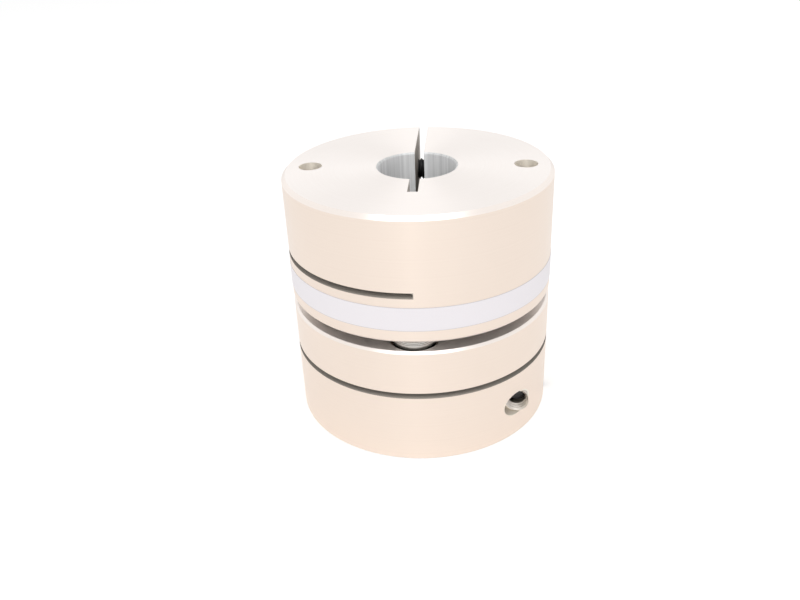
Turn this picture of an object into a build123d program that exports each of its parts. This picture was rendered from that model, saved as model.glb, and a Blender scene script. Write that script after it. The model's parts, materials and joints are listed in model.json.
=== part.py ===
"""Disc coupling, 69 mm diameter: two clamping hubs joined by one laminated steel disc pack.

Frame: origin on the bench under the shaft axis, +Z up along the shafts.
The upper hub's clamping slit opens towards +Y and the lower hub's towards +X.
Lengths are in millimetres.
"""
import os
from math import cos, radians, sin

from build123d import *

# ---- hubs -------------------------------------------------------------------
outer_d = 69.0            # outside of both hubs
hub_length = 32.0         # end face to flange face
flange_gap = 2.6          # between the two flange faces
bore_d = 20.0             # shaft bore
bore_chamfer = 0.4
top_chamfer = 1.0         # rim of the upper end face
foot_chamfer = 0.3        # rim of the lower end face
flange_chamfer = 0.6      # rims on both sides of the gap

# ---- saw cuts ---------------------------------------------------------------
slit_width = 2.5          # axial slit, open at the rim on one side
slit_reach = 19.0         # where the slit stops on the other side, from the axis
cut_width = 1.5           # cross cut that frees one half of the clamp
cut_height = 18.7         # end face to the near side of the cross cut
cut_past = 0.5            # how far the cross cut runs past the slit's middle

# ---- clamp screws, M6 x 25 socket head --------------------------------------
clamp_offset = 25.6       # shaft axis to clamp screw axis
clamp_height = 9.8        # end face to clamp screw axis
clamp_seat = 6.5          # slit middle to the seat of the head
clamp_length = 25.0
counterbore_d = 11.0
relief_d = 6.6            # plain mouth in front of the thread
relief_start = 22.0       # slit middle to the end of the thread

# ---- M6 socket head screws --------------------------------------------------
thread_d = 6.0            # tapped hole, to the thread's root
screw_d = 5.9             # outside of the screw's thread
clearance_d = 6.6
head_d = 10.0
head_height = 6.0
hex_flats = 5.0
hex_depth = 3.2
head_edge = 0.5
tip_edge = 0.6

# ---- disc pack --------------------------------------------------------------
pitch_radius = 27.5       # shaft axis to the four disc screws
sheet_count = 5
sheet = 0.2               # one lamination
lug_radius = 5.6
waist = 22.6              # shaft axis to the outer edge, midway between lugs
waist_radius = 16.0
window = 30.8             # square opening, across flats
window_corner = 6.0
sleeve_d = 7.6            # bush through the laminations
sleeve_bore_d = 6.2
collar_d = 10.4
ring_d = 11.0
ring_height = 1.0
disc_length = 12.0        # M6 x 12 disc screws
tap_depth = 10.5
pocket_d = 12.5           # clears the other hub's screw heads
pocket_depth = 7.5
access_d = 6.0            # lets the hex key reach those heads

# ---- rating label -----------------------------------------------------------
label_thickness = 0.1
label_low = 37.9
label_height = 6.2
label_start = -192.0      # degrees from +X, running round the front
label_end = 6.0

# ---- worked out -------------------------------------------------------------
outer_r = outer_d / 2
bore_r = bore_d / 2
overall = 2 * hub_length + flange_gap
middle = overall / 2
pack_height = sheet_count * sheet
collar_height = (flange_gap - pack_height) / 2
past = outer_r + 1        # clear of the rim

os.makedirs("parts", exist_ok=True)


def finish(builder, name):
    """Label a finished piece and write it out."""
    builder.part.label = name
    export_step(builder.part, f"parts/{name}.step")


def clamping_hub(end_chamfer):
    """One hub standing on its end face: slit open towards +X, freed half towards -Y."""
    with BuildPart() as hub:
        # turned blank
        with BuildSketch(Plane.XZ):
            with BuildLine():
                Polyline(
                    (bore_r + bore_chamfer, 0),
                    (outer_r - end_chamfer, 0),
                    (outer_r, end_chamfer),
                    (outer_r, hub_length - flange_chamfer),
                    (outer_r - flange_chamfer, hub_length),
                    (bore_r + bore_chamfer, hub_length),
                    (bore_r, hub_length - bore_chamfer),
                    (bore_r, bore_chamfer),
                    close=True,
                )
            make_face()
        revolve(axis=Axis.Z)

        # pockets over the other hub's screw heads, and the key holes behind them
        with Locations((0, pitch_radius, hub_length), (0, -pitch_radius, hub_length)):
            CounterBoreHole(access_d / 2, pocket_d / 2, pocket_depth)

        # tapped holes for this hub's own disc screws
        with Locations((pitch_radius, 0, hub_length), (-pitch_radius, 0, hub_length)):
            Hole(thread_d / 2, depth=tap_depth)

        # clamp screw: thread and plain mouth in the freed half, seat in the other
        screw_plane = Plane(origin=(clamp_offset, 0, clamp_height), x_dir=(1, 0, 0), z_dir=(0, -1, 0))
        with BuildSketch(screw_plane):
            Circle(thread_d / 2)
        extrude(amount=past, mode=Mode.SUBTRACT)
        with BuildSketch(screw_plane.offset(relief_start)):
            Circle(relief_d / 2)
        extrude(amount=past, mode=Mode.SUBTRACT)
        with BuildSketch(screw_plane):
            Circle(clearance_d / 2)
        extrude(amount=-past, mode=Mode.SUBTRACT)
        with BuildSketch(screw_plane.offset(-clamp_seat)):
            Circle(counterbore_d / 2)
        extrude(amount=-past, mode=Mode.SUBTRACT)

        # axial slit, from the rim through the bore to a blind end
        with BuildSketch(Plane.XY):
            with Locations(((past - slit_reach) / 2, 0)):
                Rectangle(past + slit_reach, slit_width)
        extrude(amount=cut_height + cut_width, mode=Mode.SUBTRACT)

        # cross cut with a round end, from the rim to just past the slit
        with BuildSketch(Plane.YZ):
            with Locations((cut_past - cut_width / 2, cut_height + cut_width / 2)):
                Circle(cut_width / 2)
            with Locations(((cut_past - cut_width / 2 - past) / 2, cut_height + cut_width / 2)):
                Rectangle(past + cut_past - cut_width / 2, cut_width)
        extrude(amount=past, both=True, mode=Mode.SUBTRACT)
    return hub.part


def cap_screw(length):
    """M6 socket head screw standing head up, with the underside of its head at z = 0."""
    with BuildPart() as screw:
        with BuildSketch(Plane.XZ):
            with BuildLine():
                Polyline(
                    (0, -length),
                    (screw_d / 2 - tip_edge, -length),
                    (screw_d / 2, tip_edge - length),
                    (screw_d / 2, 0),
                    (head_d / 2, 0),
                    (head_d / 2, head_height - head_edge),
                    (head_d / 2 - head_edge, head_height),
                    (0, head_height),
                    close=True,
                )
            make_face()
        revolve(axis=Axis.Z)
        with BuildSketch(Plane.XY.offset(head_height)):
            RegularPolygon(hex_flats / 2, 6, major_radius=False)
        extrude(amount=-hex_depth, mode=Mode.SUBTRACT)
    return screw.part


def bush():
    """Collared sleeve through the pack, with its collar's outer face at z = 0."""
    reach = collar_height + pack_height + ring_height
    with BuildPart() as sleeve:
        with BuildSketch(Plane.XY):
            Circle(collar_d / 2)
        extrude(amount=collar_height)
        with BuildSketch(Plane.XY):
            Circle(sleeve_d / 2)
        extrude(amount=reach)
        with Locations((0, 0, reach)):
            Hole(sleeve_bore_d / 2)
    return sleeve.part


def ring():
    """Ring that closes the bush on the head's side, seated on the pack at z = 0."""
    with BuildPart() as washer:
        with BuildSketch(Plane.XY):
            Circle(ring_d / 2)
            Circle(sleeve_d / 2, mode=Mode.SUBTRACT)
        extrude(amount=ring_height)
    return washer.part


# ---- hubs -------------------------------------------------------------------
with BuildPart(Plane.XY) as lower_hub:
    add(clamping_hub(foot_chamfer))
finish(lower_hub, "lower_hub")

upper_end = Plane(origin=(0, 0, overall), x_dir=(0, 1, 0), z_dir=(0, 0, -1))
with BuildPart(upper_end) as upper_hub:
    add(clamping_hub(top_chamfer))
finish(upper_hub, "upper_hub")

# ---- clamp screws -----------------------------------------------------------
lower_seat = Plane(origin=(clamp_offset, clamp_seat, clamp_height), x_dir=(1, 0, 0), z_dir=(0, 1, 0))
with BuildPart(lower_seat) as clamp_screw_lower:
    add(cap_screw(clamp_length))
finish(clamp_screw_lower, "clamp_screw_lower")

screw_top = overall - clamp_height
upper_seat = Plane(origin=(clamp_seat, clamp_offset, screw_top), x_dir=(0, 1, 0), z_dir=(1, 0, 0))
with BuildPart(upper_seat) as clamp_screw_upper:
    add(cap_screw(clamp_length))
finish(clamp_screw_upper, "clamp_screw_upper")

# ---- laminations ------------------------------------------------------------
for index in range(sheet_count):
    with BuildPart() as lamination:
        with BuildSketch(Plane.XY.offset(middle - pack_height / 2 + index * sheet)):
            with PolarLocations(pitch_radius, 4):
                Circle(lug_radius)
            make_hull()
            with PolarLocations(waist + waist_radius, 4, start_angle=45):
                Circle(waist_radius, mode=Mode.SUBTRACT)
            RectangleRounded(window, window, window_corner, rotation=45, mode=Mode.SUBTRACT)
            with PolarLocations(pitch_radius, 4):
                Circle(sleeve_d / 2, mode=Mode.SUBTRACT)
        extrude(amount=sheet)
    finish(lamination, f"lamination_{index + 1}")

# ---- bushes, rings and disc screws ------------------------------------------
# The front and back lugs hang on the upper hub, the left and right ones on the lower.
lugs = {"front": (0, -1), "back": (0, 1), "left": (-1, 0), "right": (1, 0)}
for side, (x, y) in lugs.items():
    up = 1 if x == 0 else -1       # from the screw's head towards its thread
    place = (pitch_radius * x, pitch_radius * y)
    collar_z = middle + up * flange_gap / 2
    ring_z = middle - up * pack_height / 2
    head_z = ring_z - up * ring_height

    with BuildPart(Plane(origin=(*place, collar_z), z_dir=(0, 0, -up))) as bush_part:
        add(bush())
    finish(bush_part, f"bush_{side}")

    with BuildPart(Plane(origin=(*place, ring_z), z_dir=(0, 0, -up))) as ring_part:
        add(ring())
    finish(ring_part, f"ring_{side}")

    with BuildPart(Plane(origin=(*place, head_z), z_dir=(0, 0, -up))) as disc_screw:
        add(cap_screw(disc_length))
    finish(disc_screw, f"disc_screw_{side}")

# ---- label ------------------------------------------------------------------
def on_rim(radius, angle):
    """Point at a radius and an angle in degrees from +X."""
    return (radius * cos(radians(angle)), radius * sin(radians(angle)))


label_r = outer_r + label_thickness
label_sweep = label_end - label_start
with BuildPart() as label:
    with BuildSketch(Plane.XY.offset(label_low)):
        with BuildLine():
            CenterArc((0, 0), outer_r, label_start, label_sweep)
            Line(on_rim(outer_r, label_end), on_rim(label_r, label_end))
            CenterArc((0, 0), label_r, label_end, -label_sweep)
            Line(on_rim(label_r, label_start), on_rim(outer_r, label_start))
        make_face()
    extrude(amount=label_height)
finish(label, "label")
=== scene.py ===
"""Looks of a disc coupling: two clear-anodised clamping hubs with a stainless disc pack between them.

Lengths are in metres in Blender; mm() turns a length in millimetres into one.
"""

import json
from math import cos, pi, radians

import bmesh
import bpy
from mathutils import Euler, Matrix, Vector


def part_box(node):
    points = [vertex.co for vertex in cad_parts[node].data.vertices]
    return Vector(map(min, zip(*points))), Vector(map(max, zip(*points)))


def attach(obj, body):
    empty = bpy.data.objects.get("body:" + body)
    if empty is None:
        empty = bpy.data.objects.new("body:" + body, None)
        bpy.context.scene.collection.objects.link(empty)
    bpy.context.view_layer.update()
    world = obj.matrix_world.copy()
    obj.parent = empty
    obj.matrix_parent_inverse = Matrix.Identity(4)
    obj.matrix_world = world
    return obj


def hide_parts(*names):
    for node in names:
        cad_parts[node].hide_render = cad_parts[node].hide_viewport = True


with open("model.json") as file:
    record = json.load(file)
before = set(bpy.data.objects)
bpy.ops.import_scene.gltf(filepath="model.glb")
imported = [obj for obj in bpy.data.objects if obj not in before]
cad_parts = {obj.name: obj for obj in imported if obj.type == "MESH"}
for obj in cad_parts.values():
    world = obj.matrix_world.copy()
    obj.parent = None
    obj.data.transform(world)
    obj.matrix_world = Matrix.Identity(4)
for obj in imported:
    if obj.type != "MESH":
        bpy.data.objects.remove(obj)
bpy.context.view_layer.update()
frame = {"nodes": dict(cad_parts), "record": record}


def mm(value):
    return value / 1000


# ---- where things are, from the frame ----------------------------------------
mounts = {mount["name"]: mount for mount in frame["record"]["mounts"]}
bore_radius = mm(mounts["upper_bore"]["dims"]["r_mm"])
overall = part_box("upper_hub")[1].z
screw_low, screw_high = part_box("clamp_screw_lower")
clamp_offset = (screw_low.x + screw_high.x) / 2
clamp_height = (screw_low.z + screw_high.z) / 2
head_radius = (screw_high.x - screw_low.x) / 2
label_low, label_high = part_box("label")
pack_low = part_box("lamination_1")[0].z
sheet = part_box("lamination_1")[1].z - pack_low

# ---- sizes of the hub's cuts and of the screws, as in the solids --------------
slit_half = mm(1.25)
slit_reach = mm(19.0)
cut_near = mm(18.7)
cut_far = mm(20.2)
cut_past = mm(0.5)
key_hole_offset = mm(27.5)
key_hole_radius = mm(3.0)
thread_root = mm(3.0)          # tapped M6 hole
thread_crest = mm(2.5)
thread_pitch = mm(1.0)
relief_start = mm(22.0)        # slit middle to the plain mouth in front of the thread
relief_radius = mm(3.3)
shank_radius = mm(2.95)
shank_core = mm(2.4)
head_height = mm(6.0)
clamp_length = mm(25.0)
hex_half = mm(2.5)
hex_depth = mm(3.2)
skin = mm(0.03)                # keeps a mask or a piece clear of the face beside it
weld = mm(0.001)               # vertices closer than this are one


# ---- colours and nodes -------------------------------------------------------
def linear(hex_colour):
    """sRGB hex such as F4E6DA to a linear RGBA tuple."""
    def channel(value):
        return value / 12.92 if value <= 0.04045 else ((value + 0.055) / 1.055) ** 2.4

    return tuple(channel(int(hex_colour[i:i + 2], 16) / 255) for i in (0, 2, 4)) + (1.0,)


def add(tree, kind, inputs=(), **settings):
    """Adds one node. inputs maps a socket to a value, or to (node, output) for a link."""
    node = tree.nodes.new("ShaderNode" + kind)
    for name, value in settings.items():
        setattr(node, name, value)
    for socket, value in dict(inputs).items():
        if isinstance(value, tuple) and isinstance(value[0], bpy.types.Node):
            tree.links.new(value[0].outputs[value[1]], node.inputs[socket])
        else:
            node.inputs[socket].default_value = value
    return node


def new_material(name):
    """An empty node material."""
    material = bpy.data.materials.new(name)
    material.use_nodes = True
    material.node_tree.nodes.clear()
    return material, material.node_tree


# ---- materials ---------------------------------------------------------------
def hub_aluminium(name, turn, shift):
    """Fine turned aluminium, clear anodised to a pale champagne: a satin metal that stretches its
    highlights across the turning. The bore and the saw cuts are bare grey metal; the cuts carry painted
    shade.

    turn and shift bring the hub into its own frame: on its end face, slit towards +X and
    freed half towards -Y.
    """
    material, tree = new_material(name)
    place = add(tree, "TexCoord")
    hub = add(tree, "Mapping", {"Vector": (place, "Object"), "Rotation": turn, "Location": shift})
    axes = add(tree, "SeparateXYZ", {"Vector": (hub, "Vector")})
    flat = add(tree, "VectorMath", {0: (hub, "Vector"), 1: (1, 1, 0)}, operation="MULTIPLY")
    radius = add(tree, "VectorMath", {0: (flat, "Vector")}, operation="LENGTH")

    # where the metal is bare: bore
    bore = add(tree, "Math", {0: (radius, "Value"), 1: bore_radius + mm(0.42)}, operation="LESS_THAN")
    # slit, between its walls, from its blind end outwards and no deeper than the cross cut
    across = add(tree, "Math", {0: (axes, "Y")}, operation="ABSOLUTE")
    between = add(tree, "Math", {0: (across, 0), 1: slit_half + skin}, operation="LESS_THAN")
    outward = add(tree, "Math", {0: (axes, "X"), 1: -slit_reach - skin}, operation="GREATER_THAN")
    shallow = add(tree, "Math", {0: (axes, "Z"), 1: cut_far + skin}, operation="LESS_THAN")
    lane = add(tree, "Math", {0: (between, 0), 1: (outward, 0)}, operation="MULTIPLY")
    slit = add(tree, "Math", {0: (lane, 0), 1: (shallow, 0)}, operation="MULTIPLY")
    # cross cut
    level = add(tree, "Math", {0: (axes, "Z"), 1: (cut_near + cut_far) / 2}, operation="SUBTRACT")
    off_level = add(tree, "Math", {0: (level, 0)}, operation="ABSOLUTE")
    cut_half = (cut_far - cut_near) / 2
    in_cut = add(tree, "Math", {0: (off_level, 0), 1: cut_half + skin}, operation="LESS_THAN")
    freed = add(tree, "Math", {0: (axes, "Y"), 1: cut_past + skin}, operation="LESS_THAN")
    cut = add(tree, "Math", {0: (in_cut, 0), 1: (freed, 0)}, operation="MULTIPLY")
    # tapped hole of the clamp screw
    side_on = add(tree, "VectorMath", {0: (hub, "Vector"), 1: (1, 0, 1)}, operation="MULTIPLY")
    from_screw = add(tree, "VectorMath", {0: (side_on, "Vector"), 1: (clamp_offset, 0, clamp_height)},
                     operation="DISTANCE")
    tapped = add(tree, "Math", {0: (from_screw, "Value"), 1: relief_radius + skin},
                 operation="LESS_THAN")
    bare = add(tree, "Math", {0: (bore, 0), 1: (slit, 0)}, operation="MAXIMUM")
    bare = add(tree, "Math", {0: (bare, 0), 1: (cut, 0)}, operation="MAXIMUM")
    # drilled holes, rougher than the turned faces
    quarter = add(tree, "VectorMath", {0: (flat, "Vector")}, operation="ABSOLUTE")
    from_key = add(tree, "VectorMath", {0: (quarter, "Vector"), 1: (0, key_hole_offset, 0)},
                   operation="DISTANCE")
    key_hole = add(tree, "Math", {0: (from_key, "Value"), 1: key_hole_radius + skin},
                   operation="LESS_THAN")
    drilled = add(tree, "Math", {0: (key_hole, 0), 1: (tapped, 0)}, operation="MAXIMUM")

    # turning marks: the real feed of 0.15 mm is too fine to show, so lines of about 0.5 mm are drawn;
    # height and radius added together run across the marks on the sides, the ends and the chamfers
    run = add(tree, "Math", {0: (axes, "Z"), 1: (radius, "Value")}, operation="ADD")
    marks = add(tree, "TexNoise", {"W": (run, 0), "Scale": 1 / mm(0.5), "Detail": 3.0},
                noise_dimensions="1D")
    # slow patches in the anodic film, 12 mm across
    film = add(tree, "TexNoise", {"Vector": (place, "Object"), "Scale": 1 / mm(12), "Detail": 2.0})
    shade = add(tree, "Math", {0: (marks, 0), 1: (film, 0)}, operation="MULTIPLY")
    sides = add(tree, "Mix", {0: (shade, 0), 6: linear("FBECDF"), 7: linear("F6E6D9")},
                data_type="RGBA")
    # painted light: faces square to the axis, and the chamfers in part, are painted lighter and cooler
    # than the turned sides, standing in for the brighter light on the top face
    ends = add(tree, "Mix", {0: (shade, 0), 6: linear("FCF6F2"), 7: linear("F5EEE9")}, data_type="RGBA")
    facing = add(tree, "SeparateXYZ", {"Vector": (place, "Normal")})
    upright = add(tree, "Math", {0: (facing, "Z")}, operation="ABSOLUTE")
    lit_end_mask = add(tree, "MapRange", {"Value": (upright, 0), "From Min": 0.3, "From Max": 0.9})
    anodised = add(tree, "Mix", {0: (lit_end_mask, 0), 6: (sides, 2), 7: (ends, 2)}, data_type="RGBA")
    # painted reflection streaks along the bare bore, a few degrees wide: lighter and darker bands stand
    # in for the turned bore's vertical reflections
    angle = add(tree, "Math", {0: (axes, "Y"), 1: (axes, "X")}, operation="ARCTAN2")
    streaks = add(tree, "TexNoise", {"W": (angle, 0), "Scale": 9.0, "Detail": 3.0},
                  noise_dimensions="1D")
    streaks = add(tree, "MapRange", {"Value": (streaks, 0), "From Min": 0.35, "From Max": 0.65})
    bright = add(tree, "Mix", {0: (streaks, 0), 6: linear("E9E9E9"), 7: linear("FBFBFB")},
                 data_type="RGBA")
    # the walls of the slit and the cross cut are painted darker and warmer than the bore: partly the
    # rougher saw-cut metal, partly painted shade for the dark inside of the narrow cuts
    sawn_and_shaded = add(tree, "Mix", {0: (bore, 0), 6: linear("BDB6AE"), 7: (bright, 2)}, data_type="RGBA")
    # painted light: the walls of the drilled holes are painted near white, lighter than the anodised
    # faces, standing in for light reaching inside the holes
    pale = add(tree, "Mix", {0: (drilled, 0), 6: (anodised, 2), 7: linear("FFF9EF")}, data_type="RGBA")
    colour = add(tree, "Mix", {0: (bare, 0), 6: (pale, 2), 7: (sawn_and_shaded, 2)}, data_type="RGBA")

    satin = add(tree, "MapRange", {"Value": (marks, 0), "To Min": 0.30, "To Max": 0.38})
    bare_rough, drilled_rough = 0.8, 0.7
    cut_rough = add(tree, "Mix", {0: (bare, 0), 2: (satin, 0), 3: bare_rough}, data_type="FLOAT")
    rough = add(tree, "Mix", {0: (drilled, 0), 2: (cut_rough, 0), 3: drilled_rough}, data_type="FLOAT")
    bump = add(tree, "Bump", {"Height": (marks, 0), "Strength": 0.5, "Distance": mm(0.006)})
    along = add(tree, "Tangent", direction_type="RADIAL", axis="Z")
    shader = add(tree, "BsdfPrincipled", {
        "Base Color": (colour, 2), "Metallic": 1.0, "Roughness": (rough, 0), "Anisotropic": 0.85,
        "Anisotropic Rotation": 0.25, "Tangent": (along, 0), "Normal": (bump, 0)})
    add(tree, "OutputMaterial", {"Surface": (shader, 0)})
    return material


def tapped_aluminium():
    """Bare aluminium as a tap leaves it: bright grey, torn a little along the thread."""
    material, tree = new_material("tapped aluminium")
    place = add(tree, "TexCoord")
    torn = add(tree, "TexNoise", {"Vector": (place, "Object"), "Scale": 1 / mm(0.6), "Detail": 3.0})
    colour = add(tree, "Mix", {0: (torn, 0), 6: linear("B9B2AA"), 7: linear("E6DFD7")},
                 data_type="RGBA")
    rough = add(tree, "MapRange", {"Value": (torn, 0), "To Min": 0.35, "To Max": 0.55})
    shader = add(tree, "BsdfPrincipled", {
        "Base Color": (colour, 2), "Metallic": 1.0, "Roughness": (rough, 0)})
    add(tree, "OutputMaterial", {"Surface": (shader, 0)})
    return material


def rolled_stainless():
    """Cold rolled stainless strip: smooth light grey with faint rolling lines along X."""
    material, tree = new_material("cold rolled stainless")
    place = add(tree, "TexCoord")
    lines = add(tree, "Mapping", {"Vector": (place, "Object"), "Scale": (40, 1200, 1200)})
    rolled = add(tree, "TexNoise", {"Vector": (lines, "Vector"), "Scale": 1.0, "Detail": 3.0})
    steel = add(tree, "Mix", {0: (rolled, 0), 6: linear("CBC8C3"), 7: linear("E6E3DF")},
                data_type="RGBA")
    # alternate sheets are painted darker all over, as painted shade for the gaps between sheets: the
    # real 0.01 mm gaps between sheets are too fine to show
    axes = add(tree, "SeparateXYZ", {"Vector": (place, "Object")})
    sheets = add(tree, "Math", {0: (axes, "Z"), 1: pack_low}, operation="SUBTRACT")
    pairs = add(tree, "Math", {0: (sheets, 0), 1: 2 * sheet}, operation="DIVIDE")
    place_in_pair = add(tree, "Math", {0: (pairs, 0)}, operation="FRACT")
    shaded_sheet = add(tree, "Math", {0: (place_in_pair, 0), 1: 0.5}, operation="GREATER_THAN")
    colour = add(tree, "Mix", {0: (shaded_sheet, 0), 6: (steel, 2), 7: linear("8F8982")}, data_type="RGBA")
    rough = add(tree, "MapRange", {"Value": (rolled, 0), "To Min": 0.22, "To Max": 0.36})
    shader = add(tree, "BsdfPrincipled", {
        "Base Color": (colour, 2), "Metallic": 1.0, "Roughness": (rough, 0)})
    add(tree, "OutputMaterial", {"Surface": (shader, 0)})
    return material


def turned_stainless():
    """Turned stainless bushes and rings: grey with a warm cast and level turning lines."""
    material, tree = new_material("turned stainless")
    place = add(tree, "TexCoord")
    axes = add(tree, "SeparateXYZ", {"Vector": (place, "Object")})
    # the real marks are 0.1 mm apart; 0.3 mm is the finest that shows
    marks = add(tree, "TexNoise", {"W": (axes, "Z"), "Scale": 1 / mm(0.3), "Detail": 2.0},
                noise_dimensions="1D")
    colour = add(tree, "Mix", {0: (marks, 0), 6: linear("BDB8B2"), 7: linear("EDEAE5")},
                 data_type="RGBA")
    rough = add(tree, "MapRange", {"Value": (marks, 0), "To Min": 0.28, "To Max": 0.42})
    bump = add(tree, "Bump", {"Height": (marks, 0), "Strength": 0.5, "Distance": mm(0.01)})
    shader = add(tree, "BsdfPrincipled", {
        "Base Color": (colour, 2), "Metallic": 1.0, "Roughness": (rough, 0), "Normal": (bump, 0)})
    add(tree, "OutputMaterial", {"Surface": (shader, 0)})
    return material


def black_oxide_steel():
    """Alloy steel screw with a black oxide finish: grey-black, slightly grainy, with an oily sheen."""
    material, tree = new_material("black oxide steel")
    place = add(tree, "TexCoord")
    # forging grain about 0.5 mm across
    grain = add(tree, "TexNoise", {"Vector": (place, "Object"), "Scale": 1 / mm(0.5), "Detail": 4.0})
    colour = add(tree, "Mix", {0: (grain, 0), 6: linear("38383A"), 7: linear("828284")},
                 data_type="RGBA")
    rough = add(tree, "MapRange", {"Value": (grain, 0), "To Min": 0.35, "To Max": 0.55})
    bump = add(tree, "Bump", {"Height": (grain, 0), "Strength": 0.4, "Distance": mm(0.02)})
    shader = add(tree, "BsdfPrincipled", {
        "Base Color": (colour, 2), "Metallic": 1.0, "Roughness": (rough, 0), "Normal": (bump, 0)})
    add(tree, "OutputMaterial", {"Surface": (shader, 0)})
    return material


def label_film():
    """Satin white polyester film, unprinted: an even cool white, with its cut edges a little darker."""
    material, tree = new_material("satin polyester film")
    place = add(tree, "TexCoord")
    axes = add(tree, "SeparateXYZ", {"Vector": (place, "Object")})
    middle = (label_low.z + label_high.z) / 2
    level = add(tree, "Math", {0: (axes, "Z"), 1: middle}, operation="SUBTRACT")
    off_middle = add(tree, "Math", {0: (level, 0)}, operation="ABSOLUTE")
    edge = add(tree, "Math", {0: (off_middle, 0), 1: (label_high.z - label_low.z) / 2 - mm(0.12)},
               operation="GREATER_THAN")
    # the satin coat has a grain of 0.3 mm
    grain = add(tree, "TexNoise", {"Vector": (place, "Object"), "Scale": 1 / mm(0.3), "Detail": 2.0})
    satin = add(tree, "Mix", {0: (grain, 0), 6: linear("F9F4F8"), 7: linear("FDF9FC")},
                data_type="RGBA")
    colour = add(tree, "Mix", {0: (edge, 0), 6: (satin, 2), 7: linear("D9D5D8")}, data_type="RGBA")
    rough = add(tree, "MapRange", {"Value": (grain, 0), "To Min": 0.38, "To Max": 0.5})
    bump = add(tree, "Bump", {"Height": (grain, 0), "Strength": 0.3, "Distance": mm(0.01)})
    shader = add(tree, "BsdfPrincipled", {
        "Base Color": (colour, 2), "Roughness": (rough, 0), "Normal": (bump, 0)})
    add(tree, "OutputMaterial", {"Surface": (shader, 0)})
    return material


finishes = {
    "spring_steel": rolled_stainless(),
    "turned_steel": turned_stainless(),
    "black_steel": black_oxide_steel(),
    "label_film": label_film(),
}
for part in frame["record"]["subparts"]:
    if part["material_slot"] in finishes:
        frame["nodes"][part["node"]].data.materials[0] = finishes[part["material_slot"]]
frame["nodes"]["lower_hub"].data.materials[0] = hub_aluminium(
    "anodised aluminium, lower hub", (0, 0, 0), (0, 0, 0))
frame["nodes"]["upper_hub"].data.materials[0] = hub_aluminium(
    "anodised aluminium, upper hub", (pi, 0, pi / 2), (0, 0, overall))
threaded = tapped_aluminium()


# ---- pieces ------------------------------------------------------------------
def make_piece(name, shape, material):
    """Turns a finished bmesh into an object that rides on the coupling."""
    bmesh.ops.remove_doubles(shape, verts=shape.verts, dist=weld)
    bmesh.ops.recalc_face_normals(shape, faces=shape.faces)
    mesh = bpy.data.meshes.new(name)
    shape.to_mesh(mesh)
    shape.free()
    mesh.materials.append(material)
    piece = bpy.data.objects.new(name, mesh)
    bpy.context.collection.objects.link(piece)
    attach(piece, "root")
    return piece


def add_ridge(shape, inner, outer, low, high, crest_inside):
    """One helical thread ridge round +Z from low to high, with its crest inside or outside its base."""
    base, crest = (outer, inner) if crest_inside else (inner, outer)
    steps_a_turn = 48
    base_half, crest_half = thread_pitch * 0.48, thread_pitch * 0.06
    corners = [shape.verts.new((r, 0, low + h)) for r, h in (
        (base, -base_half), (base, base_half), (crest, crest_half), (crest, -crest_half))]
    profile = shape.faces.new(corners)
    turns = (high - low) / thread_pitch
    steps = round(turns * steps_a_turn)
    bmesh.ops.spin(
        shape, geom=[profile, *profile.edges, *corners], cent=(0, 0, 0), axis=(0, 0, 1),
        dvec=(0, 0, thread_pitch / steps_a_turn), angle=2 * pi * steps / steps_a_turn, steps=steps)


def screw_frame(origin, x_axis, z_axis):
    """Places a shape modelled along +Z on a clamp screw's axis."""
    x_axis, z_axis = Vector(x_axis), Vector(z_axis)
    turn = Matrix((x_axis, z_axis.cross(x_axis), z_axis)).transposed()
    return Matrix.Translation(origin) @ turn.to_4x4()


def clamp_screw(name, node, place):
    """M6 socket head screw: knurled head, hexagon socket and a rolled thread, black."""
    shape = bmesh.new()
    columns = 96                   # two to each ridge of the knurl
    knurl = mm(0.12)
    edge = mm(0.5)
    socket = hex_half * 1.08       # a round socket first, then drawn in
    outline = [
        (0.0, -clamp_length), (shank_core - edge, -clamp_length), (shank_core, edge - clamp_length),
        (shank_core, -mm(1.0)), (shank_radius, -mm(0.4)), (shank_radius, 0.0),
        (head_radius - mm(0.3), 0.0),
        (head_radius, mm(0.3)), (head_radius, head_height * 0.25), (head_radius, head_height * 0.88),
        (head_radius - edge, head_height), (socket, head_height), (socket, head_height - hex_depth),
        (0.0, head_height - hex_depth)]
    points = [shape.verts.new((r, 0, h)) for r, h in outline]
    line = [shape.edges.new(pair) for pair in zip(points, points[1:])]
    bmesh.ops.spin(shape, geom=[*points, *line], cent=(0, 0, 0), axis=(0, 0, 1), angle=2 * pi,
                   steps=columns, use_merge=True)
    bmesh.ops.remove_doubles(shape, verts=shape.verts, dist=weld)
    for vert in shape.verts:
        flat = vert.co.xy
        angle = flat.angle_signed(Vector((1, 0)), 0.0) if flat.length else 0.0
        if abs(flat.length - socket) < mm(0.01) and vert.co.z > 0:
            # the socket's wall is drawn in to a hexagon
            turned = (angle + pi / 6) % (pi / 3) - pi / 6
            vert.co.xy = flat * (hex_half / cos(turned) / socket)
        column = round(angle / (2 * pi) * columns)
        in_knurl = head_height * 0.2 < vert.co.z < head_height * 0.9
        if in_knurl and flat.length > head_radius - mm(0.01) and column % 2:
            vert.co.xy = flat * (1 - knurl / head_radius)
    add_ridge(shape, shank_core - mm(0.05), shank_radius, -clamp_length + mm(0.9), -mm(1.6), False)
    bmesh.ops.transform(shape, matrix=place, verts=shape.verts)
    piece = make_piece(name, shape, finishes["black_steel"])
    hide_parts(node)


def tapped_thread(name, place):
    """Female M6 thread in the freed half, from just past the screw's end to the plain mouth."""
    shape = bmesh.new()
    past_screw = -clamp_length - mm(0.7)
    add_ridge(shape, thread_crest, thread_root + skin, -relief_start - seat, past_screw, True)
    bmesh.ops.transform(shape, matrix=place, verts=shape.verts)
    make_piece(name, shape, threaded)


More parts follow.
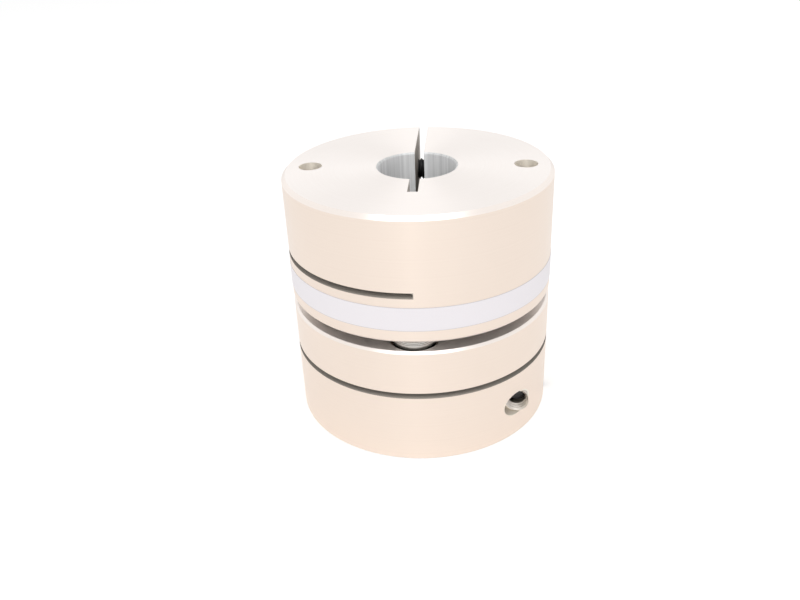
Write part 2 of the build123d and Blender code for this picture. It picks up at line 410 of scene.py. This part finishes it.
seat = screw_high.y - head_height
lower_screw = screw_frame((clamp_offset, seat, clamp_height), (1, 0, 0), (0, 1, 0))
upper_screw = screw_frame((seat, clamp_offset, overall - clamp_height), (0, 1, 0), (1, 0, 0))
clamp_screw("socket_screw_lower", "clamp_screw_lower", lower_screw)
clamp_screw("socket_screw_upper", "clamp_screw_upper", upper_screw)
tapped_thread("tapped_thread_lower", lower_screw)
tapped_thread("tapped_thread_upper", upper_screw)


# ---- studio ------------------------------------------------------------------
def studio_floor():
    """Plain white paper, lifted to white where it is seen directly or in metal. It keeps the shadow."""
    mesh = bpy.data.meshes.new("floor")
    grid = bmesh.new()
    bmesh.ops.create_grid(grid, x_segments=1, y_segments=1, size=3.0)
    grid.to_mesh(mesh)
    grid.free()
    floor = bpy.data.objects.new("floor", mesh)
    bpy.context.collection.objects.link(floor)
    material, tree = new_material("white paper")
    path = add(tree, "LightPath")
    paper = add(tree, "BsdfDiffuse", {"Color": linear("F0F0F0")})
    seen = add(tree, "Math", {0: (path, "Is Camera Ray"), 1: 0.30}, operation="MULTIPLY")
    lift = add(tree, "Math", {0: (path, "Is Glossy Ray"), 1: 0.12, 2: (seen, 0)},
               operation="MULTIPLY_ADD")
    glow = add(tree, "Emission", {"Color": (1, 1, 1, 1), "Strength": (lift, 0)})
    both = add(tree, "AddShader", {0: (paper, 0), 1: (glow, 0)})
    add(tree, "OutputMaterial", {"Surface": (both, 0)})
    mesh.materials.append(material)


def studio_world():
    """Soft light from all round; seen directly, or in metal and glass, it is white."""
    world = bpy.data.worlds.new("studio")
    bpy.context.scene.world = world
    world.use_nodes = True
    tree = world.node_tree
    tree.nodes.clear()
    path = add(tree, "LightPath")
    direct = add(tree, "Math", {0: (path, "Is Camera Ray"), 1: (path, "Is Glossy Ray")},
                 operation="MAXIMUM")
    white = add(tree, "Math", {0: (direct, 0), 1: (path, "Is Transmission Ray")}, operation="MAXIMUM")
    light = add(tree, "Background", {"Color": (1, 1, 1, 1), "Strength": 0.72})
    seen = add(tree, "Background", {"Color": (1, 1, 1, 1), "Strength": 1.0})
    mix = add(tree, "MixShader", {"Fac": (white, 0), 1: (light, 0), 2: (seen, 0)})
    add(tree, "OutputWorld", {"Surface": (mix, 0)})


def softbox(name, place, target, width, height, power):
    lamp = bpy.data.lights.new(name, "AREA")
    lamp.shape = "RECTANGLE"
    lamp.size = width
    lamp.size_y = height
    lamp.energy = power
    box = bpy.data.objects.new(name, lamp)
    bpy.context.collection.objects.link(box)
    box.location = place
    box.rotation_euler = (Vector(target) - Vector(place)).to_track_quat("-Z", "Y").to_euler()


def camera():
    azimuth = radians(5.566)
    elevation = radians(28.350)
    roll = radians(-2.587)
    lens = bpy.data.cameras.new("camera")
    lens.sensor_width = 36.0
    lens.lens = 36.18
    lens.clip_start = 0.01
    view = bpy.data.objects.new("camera", lens)
    bpy.context.collection.objects.link(view)
    view.location = (mm(13.16), mm(-195.62), mm(133.60))
    turn = Euler((pi / 2 - elevation, 0, azimuth)).to_matrix() @ Matrix.Rotation(roll, 3, "Z")
    view.rotation_euler = turn.to_euler()
    bpy.context.scene.camera = view


studio_floor()
studio_world()
softbox("overhead", (0, -0.45, 1.1), (0, 0, 0.03), 1.0, 0.9, 4.3)
softbox("strip", (-0.036, -0.6, 0.40), (0, 0, 0.03), 0.03, 0.5, 0.15)
camera()
bpy.context.scene.view_settings.view_transform = "Standard"
